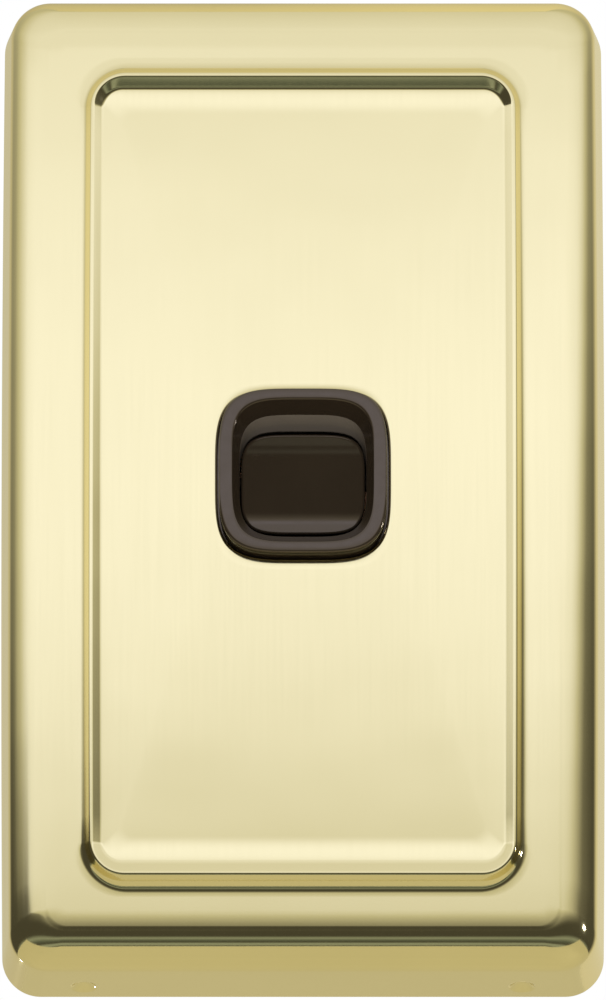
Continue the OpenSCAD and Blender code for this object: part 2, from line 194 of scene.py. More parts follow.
# Fineness of the meshes, with rows up the skirt in millimetres and directions in degrees
ARC_STEPS = 10
CORNER_STEPS = 20
EDGE_STEPS = 28
RIM_STEPS = 8
BORE_STEPS = 48
TAIL_STEPS = 5
UNDER_SKIP = 3
ROW_STEP = 0.15
ROW_COUNT = 46
DIMPLE_ROWS = [rim_break + ROW_STEP * i for i in range(ROW_COUNT)]
OUTER_ROWS = DIMPLE_ROWS + [7.4, 8, 9]
INNER_ROWS = [9.5, 8, 7] + DIMPLE_ROWS[:-2:2][::-1]
ROUND_STEPS = 240
ROUND = [360 * i / ROUND_STEPS for i in range(ROUND_STEPS)]
FACE_RINGS = 48
COIL_STEPS = 28
WIRE_SIDES = 12
WIRE_SHARP = 60.0

# Places of points as shares of half a side, closer together through the dimples
LONG_HALF = 14
LONG_STOPS = [-1 + i / LONG_HALF for i in range(1, 2 * LONG_HALF)]
DIMPLE_FROM = 0.775
DIMPLE_SPAN = 0.125
DIMPLE_STEPS = 26
DIMPLE_STOPS = [DIMPLE_FROM + DIMPLE_SPAN * i / DIMPLE_STEPS for i in range(DIMPLE_STEPS + 1)]
TENTHS = [i / 10 for i in range(-8, 9)]
SHORT_STOPS = sorted([-f for f in DIMPLE_STOPS] + TENTHS + DIMPLE_STOPS)
SIDE_SWING = 28.0  # degrees either way that a side takes of the hole's outline

# Places of loops as shares of the way across the border and the panel
BORDER_STOPS = [0.03, 0.07, 0.12, 0.18, 0.25, 0.32, 0.4, 0.5, 0.62, 0.75, 0.88]
PANEL_STOPS = [0.01, 0.03, 0.07, 0.14, 0.24, 0.38, 0.54, 0.7, 0.83, 0.92, 0.97]


# Points and sections

def place(point):
    """A point of the plate's frame in metres in the shared frame."""
    x, y, z = point
    return Vector((x, -z, y)) * MM


def arc(cx, cy, r, start, end, steps=ARC_STEPS):
    """Points on an arc between two angles in degrees."""
    angles = [math.radians(start + (end - start) * i / steps) for i in range(steps + 1)]
    return [(cx + r * math.cos(a), cy + r * math.sin(a)) for a in angles]


def rounded_path(points, radii):
    """An open path through points whose inner corners are rounded by arcs of the given radii."""
    path = [points[0]]
    for i in range(1, len(points) - 1):
        corner = Vector(points[i])
        back = (Vector(points[i - 1]) - corner).normalized()
        ahead = (Vector(points[i + 1]) - corner).normalized()
        half = back.angle(ahead) / 2
        centre = corner + (back + ahead).normalized() * (radii[i - 1] / math.sin(half))
        reach = radii[i - 1] / math.tan(half)
        first = corner + back * reach - centre
        sweep = first.angle_signed(corner + ahead * reach - centre)
        for k in range(ARC_STEPS + 1):
            turn = -sweep * k / ARC_STEPS
            c, s = math.cos(turn), math.sin(turn)
            path.append((centre.x + first.x * c - first.y * s, centre.y + first.x * s + first.y * c))
    path.append(points[-1])
    return path


def rounded_loop(w, h, r, z):
    """A rounded rectangle, anticlockwise from the lower end of its right side."""
    hx, hy = w / 2 - r, h / 2 - r
    loop = []
    for k in range(4):
        long_side = k % 2 == 0
        out, along = (w / 2, hy) if long_side else (h / 2, hx)
        turn = math.radians(90 * k)
        c, s = round(math.cos(turn)), round(math.sin(turn))
        side = [(out, f * along) for f in (LONG_STOPS if long_side else SHORT_STOPS)]
        corner = arc(out - r, along, r, 0, 90, CORNER_STEPS)
        loop += [(c * x - s * y, s * x + c * y, z) for x, y in side + corner]
    return loop


def barrel_radius(w, h, n, angle):
    """Distance from the middle to a barrel-square outline in one direction."""
    c, s = abs(math.cos(angle)) / (w / 2), abs(math.sin(angle)) / (h / 2)
    return (c ** n + s ** n) ** (-1 / n)


def barrel_points(w, h, n, z, angles=ROUND):
    """Points of a barrel-square outline in the given directions, in degrees."""
    loop = []
    for a in map(math.radians, angles):
        r = barrel_radius(w, h, n, a)
        loop.append((r * math.cos(a), r * math.sin(a), z))
    return loop


def box_points(w, h, r, z):
    """Points of a rounded rectangle in the directions of ROUND."""
    tiny = 1e-9
    loop = []
    for a in map(math.radians, ROUND):
        c, s = math.cos(a), math.sin(a)
        reach = min(w / 2 / max(abs(c), tiny), h / 2 / max(abs(s), tiny))
        x, y = reach * c, reach * s
        over = Vector((abs(x) - (w / 2 - r), abs(y) - (h / 2 - r)))
        if over.x > 0 and over.y > 0:
            over = over.normalized() * r
            x = math.copysign(w / 2 - r + over.x, x)
            y = math.copysign(h / 2 - r + over.y, y)
        loop.append((x, y, z))
    return loop


def hole_loop(grow, z):
    """The outline of the plate's hole, grown all round, with the points of a rounded_loop."""
    span = 90 - 2 * SIDE_SWING
    angles = []
    for k in range(4):
        stops = LONG_STOPS if k % 2 == 0 else SHORT_STOPS
        angles += [90 * k + f * SIDE_SWING for f in stops]
        angles += [90 * k + SIDE_SWING + span * i / CORNER_STEPS for i in range(CORNER_STEPS + 1)]
    return barrel_points(hole_w + 2 * grow, hole_h + 2 * grow, barrel_n, z, angles)


def between(first, last, t):
    """The loop at fraction t of the way from one loop to another."""
    return [tuple(a + (b - a) * t for a, b in zip(p, q)) for p, q in zip(first, last)]


# Meshes

def add_loops(mesh, loops, closed=False, capped=False):
    """Adds quads between successive loops of the same length, with fans over the ends if capped."""
    rings = [[mesh.verts.new(place(p)) for p in loop] for loop in loops]
    pairs = list(zip(rings, rings[1:]))
    if closed:
        pairs.append((rings[-1], rings[0]))
    for low, high in pairs:
        for i in range(len(low)):
            j = (i + 1) % len(low)
            mesh.faces.new((low[i], low[j], high[j], high[i]))
    if not capped:
        return
    for ring in (rings[0], rings[-1]):
        middle = mesh.verts.new(sum((v.co for v in ring), Vector()) / len(ring))
        for i in range(len(ring)):
            mesh.faces.new((ring[i], ring[(i + 1) % len(ring)], middle))


def add_prism(mesh, outline, x0, x1):
    """Adds a prism along x from an outline of (y, z) points."""
    ends = [[mesh.verts.new(place((x, y, z))) for y, z in outline] for x in (x0, x1)]
    for i in range(len(outline)):
        j = (i + 1) % len(outline)
        mesh.faces.new((ends[0][i], ends[0][j], ends[1][j], ends[1][i]))
    mesh.faces.new(ends[0])
    mesh.faces.new(ends[1])


def finish_mesh(name, mesh, sharp_angle=35.0):
    """Makes an object from a bmesh, smooth but for edges sharper than an angle."""
    bmesh.ops.recalc_face_normals(mesh, faces=mesh.faces)
    data = bpy.data.meshes.new(name)
    mesh.to_mesh(data)
    mesh.free()
    data.polygons.foreach_set("use_smooth", [True] * len(data.polygons))
    data.set_sharp_from_angle(angle=math.radians(sharp_angle))
    piece = bpy.data.objects.new(name, data)
    bpy.context.scene.collection.objects.link(piece)
    return piece


def drill_pin_hole(piece, radius):
    """Cuts a round hole along the rocker's pin through a piece."""
    reach = block_w / 2 + drill_past
    circle = arc(0, 0, radius, 0, 360, BORE_STEPS)[:-1]
    circles = [[(x, y, pin_z + z) for y, z in circle] for x in (-reach, reach)]
    cutter_mesh = bmesh.new()
    add_loops(cutter_mesh, circles, capped=True)
    cutter = finish_mesh("pin_cutter", cutter_mesh)
    cut = piece.modifiers.new("pin_hole", "BOOLEAN")
    cut.operation = "DIFFERENCE"
    cut.solver = "EXACT"
    cut.object = cutter
    shown = piece.evaluated_get(bpy.context.evaluated_depsgraph_get())
    result = bpy.data.meshes.new_from_object(shown)
    piece.modifiers.clear()
    piece.data = result
    bpy.data.objects.remove(cutter)


# Cover plate

def bowed(loops):
    """Bends the front of the plate back a little towards its top and bottom ends."""
    return [[(x, y, z - bow * (2 * y / plate_h) ** 2 * (z / border_z) ** 2) for x, y, z in loop]
            for loop in loops]


def waisted(loops):
    """Draws the sides in a little towards the top and bottom."""
    return [[(x * (1 - waist * (2 * y / plate_h) ** 2), y, z) for x, y, z in loop] for loop in loops]


def dimpled(loops):
    """Presses the snap dimples into the top and bottom of the skirt."""
    done = []
    for loop in loops:
        points = []
        for x, y, z in loop:
            off = math.hypot(abs(x) - dimple_x, (z - dimple_z) / dimple_tall) / dimple_r
            if off < 1 and abs(y) > plate_h / 2 - corner_r / 2:
                y -= math.copysign(dimple_deep * (1 - off ** 2), y)
            points.append((x, y, z))
        done.append(points)
    return done


def skirt_loop(u, z):
    """A loop of the skirt, u from the corner's centre, with corners that stay round at the front."""
    grow = 2 * (u - corner_r)
    out = u - edge_u
    return rounded_loop(plate_w + grow, plate_h + grow, flat_corner_r + out - corner_ease * out ** 2, z)


def bead_loop(u, z):
    """A loop of the bead, u from the bead corner's centre, with corners that stay round inside."""
    crest_u = bead_r - bead_out
    side_u = crest_u + (u - crest_u) * (side_out if u > crest_u else side_in)
    corner = max(u, inner_corner_r + inner_corner_rate * u)
    loop = rounded_loop(bead_w + 2 * (side_u - bead_r), bead_h + 2 * (u - bead_r), corner, z)
    return [(x, y + bead_lift, z) for x, y, z in loop]


def bead_path():
    """Section of the bead from the border to the panel, with soft feet."""
    crest = Vector((bead_r - bead_out, border_z + bead_rise - crest_r))
    foot_out = Vector((bead_r, border_z))
    foot_in = Vector((bead_r - bead_out - bead_in, panel_z))

    def touch(foot, side):
        """Angle at which a line from a foot touches the crest's circle."""
        way = foot - crest
        return math.atan2(way.y, way.x) % (2 * math.pi) + side * math.acos(crest_r / way.length)

    start = touch(foot_out, 1)
    end = touch(foot_in, -1)
    middle = (start + end) / 2
    apex = crest + Vector((math.cos(middle), math.sin(middle))) * (crest_r / math.cos((end - start) / 2))
    rate = math.tan(math.radians(in_slope))
    tail_from = foot_in - Vector((in_bare, in_bare * rate))
    along_border = Vector((1, 0))
    corners = [foot_out + along_border, foot_out, apex, foot_in, tail_from]
    path = rounded_path([tuple(p) for p in corners], [foot_out_r, crest_r, foot_in_r])[1:]
    for i in range(1, TAIL_STEPS + 1):
        d = in_tail * i / TAIL_STEPS
        path.append((tail_from.x - d, tail_from.y - rate * (d - d * d / (2 * in_tail))))
    return path


def border_loops(first, last):
    """Loops across the border, falling to the rounded edge."""
    half_w = max(p[0] for p in first)
    half_h = max(p[1] for p in first)

    def depth(x, y):
        """Distance from the border's outer outline."""
        past_x = abs(x) - half_w + flat_corner_r
        past_y = abs(y) - half_h + flat_corner_r
        if min(past_x, past_y) > 0:
            return flat_corner_r - math.hypot(past_x, past_y)
        return flat_corner_r - max(past_x, past_y)

    loops = []
    for t in BORDER_STOPS:
        loop = []
        for p, q in zip(first, last):
            x, y = (p[i] + (q[i] - p[i]) * t for i in range(2))
            near_edge = min(1, max(0, 1 - depth(x, y) / edge_tail))
            loop.append((x, y, border_z - edge_fall * near_edge ** 2))
        loops.append(loop)
    return loops


def plate_front(bead):
    """Loops of the plate's outside, from its rim at the wall to the edge of its hole."""
    skirt = [(corner_r - rim_break, 0)] + [(corner_r - z * lean, z) for z in OUTER_ROWS]
    edge = arc(*edge_c, edge_r, draft, 90 - edge_slope, EDGE_STEPS)
    outer = [skirt_loop(u, z) for u, z in skirt + edge]
    border = border_loops(outer[-1], bead[0])
    rim_arc = arc(0, 0, hole_r, 90, 0, RIM_STEPS)
    rim = [hole_loop(hole_r - a, panel_z + (b - hole_r)) for a, b in rim_arc]
    panel = [between(bead[-1], rim[0], t) for t in PANEL_STOPS]
    return bowed(dimpled(outer) + border + bead + panel + rim)


def plate_back(bead):
    """Loops of the plate's inside, from the edge of its hole back to its rim at the wall."""
    edge = arc(*edge_c, edge_r - sheet, 90, draft, RIM_STEPS)
    edge_end_u, edge_end_z = edge[-1]
    skirt = [(edge_end_u + (edge_end_z - z) * lean, z) for z in INNER_ROWS]
    under = [hole_loop(grow, panel_z - sheet) for grow in (0, hole_land)]
    under += [[(x, y, z - sheet) for x, y, z in loop] for loop in reversed(bead[::UNDER_SKIP])]
    under += [skirt_loop(u, z) for u, z in edge]
    return bowed(under) + dimpled([skirt_loop(u, z) for u, z in skirt])


def make_cover_plate():
    """The pressed brass plate as one closed sheet."""
    bead = [bead_loop(u, z) for u, z in bead_path()]
    mesh = bmesh.new()
    add_loops(mesh, waisted(plate_front(bead) + plate_back(bead)), closed=True)
    piece = finish_mesh("brass_cover", mesh)
    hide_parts("cover_plate")
    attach(piece, "frame")
    return piece


# Bezel and rocker

def ring_size(d):
    """Width and height of the bezel's outline at distance d in from its outside."""
    keys = [(0, bezel_w, bezel_h), (ring_face, open_w, open_h), (lip_d, well_w, lip_h),
            (well_d, well_w, well_h)]
    for low, high in zip(keys, keys[1:]):
        if d <= high[0]:
            break
    t = min(1, (d - low[0]) / (high[0] - low[0]))
    return [a + (b - a) * t for a, b in zip(low[1:], high[1:])]


def make_bezel():
    """The ring round the rocker with its well, flange, pin block and two barbs."""
    corners = [(0, flange_top), (0, ring_z), (ring_face, ring_z), (lip_d, lip_z), (well_d, pin_z)]
    path = rounded_path(corners, [ring_edge_r, ring_edge_r, lip_r])
    loops = [barrel_points(*ring_size(d), barrel_n, z) for d, z in path]
    loops += [barrel_points(well_w, well_h, barrel_n, block_z)]
    loops += [box_points(block_w, block_h, block_r, z) for z in (block_z, flange_z)]
    loops += [box_points(flange_w, flange_h, flange_r, z) for z in (flange_z, flange_top)]
    mesh = bmesh.new()
    add_loops(mesh, loops, closed=True)
    barb = [(barb_root, barb_low), (0, barb_low), (-barb_out, barb_mid), (-barb_out, barb_high),
            (barb_root, barb_high)]
    for s in (-1, 1):
        outline = [(s * (block_h / 2 - a), block_z + z) for a, z in barb]
        add_prism(mesh, outline, -barb_w / 2, barb_w / 2)
    piece = finish_mesh("bezel_ring", mesh)
    drill_pin_hole(piece, pin_r + block_pin_gap)
    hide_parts("bezel")
    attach(piece, "frame")
    return piece


def turned(loops):
    """Loops drawn about the pin, turned to the rocker's rest position."""
    c, s = math.cos(math.radians(rock_rest)), math.sin(math.radians(rock_rest))
    return [[(x, y * c - z * s, pin_z + y * s + z * c) for x, y, z in loop] for loop in loops]


def face_z(y):
    """Height of the rocker's face over the pin, with a soft crease at the foot of each lip."""
    rate = math.tan(math.radians(lip_lean))
    past = abs(y) - (rocker_h / 2 - end_lip)
    if past < -crease:
        return face_flat
    if past > crease:
        return face_flat + past * rate
    return face_flat + rate * (past + crease) ** 2 / (4 * crease)


def make_rocker():
    """The rocker with its finger face, raised at both ends, and the bored stem behind it."""
    inset_w, inset_h = rocker_w - 2 * face_edge_r, rocker_h - 2 * face_edge_r
    loops = []
    for i in range(FACE_RINGS):
        t = (i + 0.5) / FACE_RINGS
        loop = barrel_points(inset_w * t, inset_h * t, rocker_n, 0)
        loops.append([(x, y, face_z(y)) for x, y, _ in loop])
    for a, b in arc(0, 0, face_edge_r, 90, 0):
        loop = barrel_points(inset_w + 2 * a, inset_h + 2 * a, rocker_n, 0)
        loops.append([(x, y, face_z(y) + b - face_edge_r) for x, y, _ in loop])
    for inset, z in ((0, rocker_back + rocker_break), (rocker_break, rocker_back)):
        loops.append(barrel_points(rocker_w - 2 * inset, rocker_h - 2 * inset, rocker_n, z))
    stem = [(stem_r, rocker_back), (stem_r, stem_end + rocker_break), (stem_r - rocker_break, stem_end),
            (bore_r, stem_end), (bore_r, bore_floor)]
    loops += [barrel_points(2 * r, 2 * r, 2, z) for r, z in stem]
    mesh = bmesh.new()
    add_loops(mesh, turned(loops), capped=True)
    piece = finish_mesh("rocker_button", mesh)
    drill_pin_hole(piece, pin_r + rocker_pin_gap)
    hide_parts("rocker")
    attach(piece, "rocker")
    return piece


def make_spring():
    """The plunger's coil spring, a helix of round wire."""
    rings = spring_turns * COIL_STEPS
    loops = []
    for i in range(rings + 1):
        a = 2 * math.pi * i / COIL_STEPS
        t = i / rings
        z = spring_to + spring_wire + (spring_from - spring_to - 2 * spring_wire) * t
        loop = []
        for k in range(WIRE_SIDES):
            b = 2 * math.pi * k / WIRE_SIDES
            r = spring_mid_r + spring_wire * math.cos(b)
            loop.append((r * math.cos(a), r * math.sin(a), z + spring_wire * math.sin(b)))
        loops.append(loop)
    mesh = bmesh.new()
    add_loops(mesh, turned(loops), capped=True)
    piece = finish_mesh("plunger_coil", mesh, WIRE_SHARP)
    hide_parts("plunger_spring")
    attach(piece, "rocker")
    return piece


# Materials

NOISE_RANGE = (0.3, 0.7)
TARNISH_RANGE = (0.3, 0.65)
TOOL_LINES = (900, 5000, 5000)
TOOL_DEPTH = 6e-7


class Nodes:
    """Short ways to add nodes to a material or a world."""

    def __init__(self, owner):
        owner.use_nodes = True
        self.tree = owner.node_tree
        self.tree.nodes.clear()

    def add(self, kind, **settings):
        node = self.tree.nodes.new(kind)
        for key, value in settings.items():
            setattr(node, key, value)
        return node

    def link(self, source, target):
        self.tree.links.new(source, target)

    def feed(self, socket, value):
        """Links a socket to another one, or sets its number or colour."""
        if isinstance(value, bpy.types.NodeSocket):
            self.link(value, socket)
        else:
            socket.default_value = value

    def calc(self, operation, *values):
        """The result of a math operation on numbers or sockets."""
        node = self.add("ShaderNodeMath", operation=operation)
        for socket, value in zip(node.inputs, values):
            self.feed(socket, value)
        return node.outputs[0]

    def span(self, value, low, high, to_low=0.0, to_high=1.0):
        """Maps a range of values to another one, held at its ends."""
        node = self.add("ShaderNodeMapRange", clamp=True)
        for socket, v in zip(node.inputs, (value, low, high, to_low, to_high)):
            self.feed(socket, v)
        return node.outputs[0]

    def ramp(self, value, stops):
        """A colour ramp through (position, colour) stops."""
        node = self.add("ShaderNodeValToRGB")
        ramp = node.color_ramp
        ramp.interpolation = "LINEAR"
        for i, (at, colour) in enumerate(stops):
            stop = ramp.elements[i] if i < 2 else ramp.elements.new(at)
            stop.position = at
            stop.color = (*colour, 1)
        self.link(value, node.inputs[0])
        return node.outputs[0]

    def mix(self, factor, a, b):
        """Blends two colours."""
        node = self.add("ShaderNodeMix", data_type="RGBA")
        self.feed(node.inputs[0], factor)
        for socket, colour in ((node.inputs[6], a), (node.inputs[7], b)):
            self.feed(socket, (*colour, 1) if isinstance(colour, tuple) else colour)
        return node.outputs[2]

    def coordinates(self, stretch):
        """Object coordinates in metres, stretched along each axis."""
        coords = self.add("ShaderNodeTexCoord").outputs["Object"]
        scaled = self.add("ShaderNodeVectorMath", operation="MULTIPLY")
        self.link(coords, scaled.inputs[0])
        scaled.inputs[1].default_value = stretch
        return scaled.outputs[0]

    def noise(self, scale, detail, stretch=(1, 1, 1)):
        """Noise of about the given number of waves a metre."""
        node = self.add("ShaderNodeTexNoise")
        node.inputs["Scale"].default_value = scale
        node.inputs["Detail"].default_value = detail
        self.link(self.coordinates(stretch), node.inputs["Vector"])
        return node.outputs["Fac"]

    def bump(self, height):
        """A normal from a height in metres."""
        node = self.add("ShaderNodeBump")
        node.inputs["Strength"].default_value = 1.0
        node.inputs["Distance"].default_value = 1.0
        self.link(height, node.inputs["Height"])
        return node.outputs["Normal"]


class Finish(Nodes):
    """A material with a principled shader; its numbers that don't vary are set at once."""

    def __init__(self, name, metallic, ior=1.5, tint=(1, 1, 1)):
        self.material = bpy.data.materials.new(name)
        super().__init__(self.material)
        self.shader = self.add("ShaderNodeBsdfPrincipled")
        output = self.add("ShaderNodeOutputMaterial")
        self.link(self.shader.outputs[0], output.inputs["Surface"])
        self.shader.inputs["Metallic"].default_value = metallic
        self.shader.inputs["IOR"].default_value = ior
        self.shader.inputs["Specular Tint"].default_value = (*tint, 1)

    def vary_colour(self, share, colour, low, high):
        """Lets the colour go from a darker shade to a lighter one by a share."""
        dark, light = (tuple(c * level for c in colour) for level in (low, high))
        self.link(self.mix(share, dark, light), self.shader.inputs["Base Color"])

    def vary_roughness(self, noise, rough):
        """Lets the roughness go from one value to another by a noise."""
        self.link(self.span(noise, *NOISE_RANGE, *rough), self.shader.inputs["Roughness"])

    def emboss(self, height):
        """Bumps the surface by a height in metres."""
        self.link(self.bump(height), self.shader.inputs["Normal"])


def polished_metal(name, colour, rough, waves, streak_way, streak_depth):
    """Polished sheet metal: slow waves from the press and fine polishing lines."""
    finish = Finish(name, metallic=1.0)
    finish.vary_colour(finish.noise(55, detail=3), colour, low=0.97, high=1.02)
    lines = finish.noise(1, detail=4, stretch=streak_way)
    finish.vary_roughness(lines, rough)
    wave = finish.calc("MULTIPLY", finish.noise(70, detail=1), waves)
    finish.emboss(finish.calc("MULTIPLY_ADD", lines, streak_depth, wave))
    return finish.material


def moulded_plastic(name, colour, rough, ior, grain, depth, spread=0.12, tint=(1, 1, 1)):
    """Moulded plastic: faintly cloudy colour and fine grain."""
    finish = Finish(name, metallic=0.0, ior=ior, tint=tint)
    finish.vary_colour(finish.noise(140, detail=4), colour, low=1 - spread, high=1 + spread)
    fine = finish.noise(grain, detail=3)
    finish.vary_roughness(fine, rough)
    finish.emboss(finish.calc("MULTIPLY", fine, depth))
    return finish.material


def machined_metal(name, colour, rough):
    """Turned or stamped metal: tool lines and slight tarnish."""
    finish = Finish(name, metallic=1.0)
    tarnish = finish.span(finish.noise(420, detail=4), *TARNISH_RANGE)
    finish.vary_colour(tarnish, colour, low=0.72, high=1.05)
    lines = finish.noise(1, detail=3, stretch=TOOL_LINES)
    finish.vary_roughness(lines, rough)
    finish.emboss(finish.calc("MULTIPLY", lines, TOOL_DEPTH))
    return finish.material


def dress(node, material):
    """Gives a piece, or a CAD node by its name, one material."""
    piece = frame["nodes"][node] if isinstance(node, str) else node
    piece.data.materials.clear()
    piece.data.materials.append(material)


def dress_well(bezel, material):
    """Gives the walls of the bezel's well a second material, rougher and lighter than the brown plastic;
    its lighter colour is a painted sheen.
    """
    margin = 0.05
    below_lip = 0.1
    half_w, half_h = well_w / 2 + margin, lip_h / 2 + margin
    bezel.data.materials.append(material)
    for face in bezel.data.polygons:
        x, z, y = (c / MM for c in face.center)
        inside = (abs(x) / half_w) ** barrel_n + (abs(y) / half_h) ** barrel_n < 1
        if inside and block_z < -z < lip_z - below_lip:
            face.material_index = 1


# Stage, light and camera

SOFTBOX = (1.21, 1.24, 1.43)
BACKDROP = (0.66, 0.64, 0.50)
CLOTH = (0.60, 0.545, 0.36)
GLOOM = (0.07, 0.066, 0.05)
MOSS = (0.105, 0.12, 0.098)
GLEAM = (0.30, 0.33, 0.27)
WHITE = (1.0, 1.0, 1.0)
BRIGHTEST = 1.22
TONES = [(0.07, GLOOM), (0.66, BACKDROP), (1.2, SOFTBOX)]  # colours by brightness

# Brightness by elevation in degrees: in front, at the left and at the right
FRONT_LEVELS = [
    (-7, 0.07), (-4, 0.115), (2.2, 0.37), (4.1, 0.52), (5.9, 0.62), (7.5, 0.74), (8.8, 0.83),
    (9.2, 0.93), (9.8, 1.03), (10.3, 1.1), (11, 1.15), (12.2, 1.22), (14.4, 1.16), (14.8, 1.11),
    (15.4, 1.07), (16, 0.96), (31, 0.96), (40, 0.92), (60, 0.87), (82, 0.81)]
LEFT_LEVELS = [(10, 0.08), (11.2, 0.14), (12.3, 0.26), (14, 0.41), (60, 0.6)]
RIGHT_LEVELS = [(11, 0.08), (12.3, 0.15), (13.5, 0.25), (15, 0.36), (60, 0.6)]

# Shares of the left, the right and the cloth behind, by azimuth in degrees with the front at 0
LEFT_SHARE = [
    (-124, 1), (-112, 0.93), (-103, 0.75), (-95, 0.6), (-87, 0.48), (-79, 0.37), (-72, 0.24),
    (-63, 0.1), (-50, 0.04), (-38, 0)]
RIGHT_SHARE = [
    (12, 0), (32, 0.06), (48, 0.13), (58, 0.24), (68, 0.42), (79, 0.66), (91, 0.92), (105, 0.96),
    (122, 1)]
BACK_LEFT_SHARE = [(-146, 1), (-131, 0)]
BACK_RIGHT_SHARE = [(123, 0), (144, 1)]

# The right's edge leans: the elevations between which it moves, and how far, in turns
RIGHT_LEAN_AT = (14.8, 8.8)
RIGHT_LEAN = (-20 / 360, 28 / 360)

# A dark corner low at the left: its share by azimuth, the elevations between which it fades in,
# and the slants of its upper edge on either side of one azimuth, in half turns up a turn round
CORNER_LEVEL = 0.065
CORNER_SHARE = [(-72, 1), (-55, 0.95), (-25, 0.65), (-6, 0)]
CORNER_FADE = (10.2, 9.4)
CORNER_AT = -61
CORNER_SLANTS = (2 / 51, 0.3)

# Colours below, the elevations between which they fade in, and brightness of the cloth behind
BELOW = [
    (-60, MOSS), (-46, MOSS), (-43.5, GLEAM), (-39.5, GLEAM), (-37, GLOOM), (-32, MOSS),
    (-26, GLEAM), (-21, GLOOM)]
BELOW_FADE = (-12, -20)
CLOTH_LEVELS = [(-90, 1), (20, 1), (35, 0.9), (65, 1.15), (85, 1.25)]
CLOTH_LEFT = 1.0
CLOTH_RIGHT = 1.2


def height(degrees):
    """Place of an elevation between straight down and straight up."""
    return degrees / 180 + 0.5


def azimuth(degrees):
    """Place of an azimuth on the way once round, with the front in the middle."""
    return degrees / 360 + 0.5


def make_world():
    """A studio by direction: a softbox in front above, gloom in front below, pale cloth behind."""
    world = bpy.data.worlds.new("studio")
    bpy.context.scene.world = world
    nodes = Nodes(world)
    way = nodes.add("ShaderNodeSeparateXYZ")
    nodes.link(nodes.add("ShaderNodeTexCoord").outputs["Generated"], way.inputs[0])
    lift = nodes.calc("MULTIPLY_ADD", nodes.calc("ARCSINE", way.outputs[2]), 1 / math.pi, 0.5)
    ahead = nodes.calc("MULTIPLY", way.outputs[1], -1.0)
    turn = nodes.calc("MULTIPLY_ADD", nodes.calc("ARCTAN2", way.outputs[0], ahead), 0.5 / math.pi, 0.5)

    def by_height(stops):
        """Colours by elevation in degrees."""
        return nodes.ramp(lift, [(height(degrees), colour) for degrees, colour in stops])

    def levels(stops):
        """Brightness by elevation in degrees, as a share of the brightest."""
        return by_height([(degrees, (level / BRIGHTEST,) * 3) for degrees, level in stops])

    def shares(at, stops):
        """Shares by azimuth in degrees."""
        return nodes.ramp(at, [(azimuth(degrees), (share,) * 3) for degrees, share in stops])

    level = nodes.mix(shares(turn, LEFT_SHARE), levels(FRONT_LEVELS), levels(LEFT_LEVELS))
    leaning = nodes.calc("ADD", turn, nodes.span(lift, *map(height, RIGHT_LEAN_AT), *RIGHT_LEAN))
    level = nodes.mix(shares(leaning, RIGHT_SHARE), level, levels(RIGHT_LEVELS))
    past = nodes.calc("SUBTRACT", turn, azimuth(CORNER_AT))
    slanting = nodes.calc("MAXIMUM", *[nodes.calc("MULTIPLY", past, slant) for slant in CORNER_SLANTS])
    low_left = nodes.span(nodes.calc("ADD", lift, slanting), *map(height, CORNER_FADE))
    corner = nodes.calc("MULTIPLY", shares(turn, CORNER_SHARE), low_left)
    level = nodes.mix(corner, level, (CORNER_LEVEL / BRIGHTEST,) * 3)
    colour = nodes.ramp(level, [(at / BRIGHTEST, tone) for at, tone in TONES])
    colour = nodes.mix(nodes.span(lift, *map(height, BELOW_FADE)), colour, by_height(BELOW))
    for back_share, bright in ((BACK_LEFT_SHARE, CLOTH_LEFT), (BACK_RIGHT_SHARE, CLOTH_RIGHT)):
        cloth = [(degrees, tuple(c * share * bright for c in CLOTH)) for degrees, share in CLOTH_LEVELS]
        colour = nodes.mix(shares(turn, back_share), colour, by_height(cloth))
    seen = nodes.add("ShaderNodeLightPath").outputs["Is Camera Ray"]
    shine = nodes.add("ShaderNodeBackground")
    nodes.link(nodes.mix(seen, colour, WHITE), shine.inputs["Color"])
    nodes.link(shine.outputs[0], nodes.add("ShaderNodeOutputWorld").inputs["Surface"])


FLOOR_Z = -1.2
FLOOR_FRONT = -1.06
FLOOR_SIZE = 5.0
FLOOR_SHADES = ((0.79, 0.745, 0.545), (0.84, 0.79, 0.585))


def floor_material():
    """A pale matte floor, white to the camera and clear from below."""
    material = bpy.data.materials.new("pale_floor")
    nodes = Nodes(material)

    def choose(factor, first, second):
        """Blends two shaders."""
        node = nodes.add("ShaderNodeMixShader")
        for socket, source in zip(node.inputs, (factor, first.outputs[0], second.outputs[0])):
            nodes.link(source, socket)
        return node

    matte = nodes.add("ShaderNodeBsdfDiffuse")
    nodes.link(nodes.mix(nodes.noise(3, detail=2), *FLOOR_SHADES), matte.inputs["Color"])
    white = nodes.add("ShaderNodeEmission")
    clear = nodes.add("ShaderNodeBsdfTransparent")
    seen = nodes.add("ShaderNodeLightPath").outputs["Is Camera Ray"]
    from_below = nodes.add("ShaderNodeNewGeometry").outputs["Backfacing"]
    one_way = choose(from_below, choose(seen, matte, white), clear)
    nodes.link(one_way.outputs[0], nodes.add("ShaderNodeOutputMaterial").inputs["Surface"])
    return material


def make_floor():
    """A plain pale floor below and behind the switch, seen from above only."""
    mesh = bmesh.new()
    half = FLOOR_SIZE / 2
    corners = [(-half, FLOOR_FRONT), (half, FLOOR_FRONT), (half, FLOOR_FRONT + FLOOR_SIZE),
               (-half, FLOOR_FRONT + FLOOR_SIZE)]
    mesh.faces.new([mesh.verts.new((x, y, FLOOR_Z)) for x, y in corners])
    floor = finish_mesh("floor", mesh)
    dress(floor, floor_material())


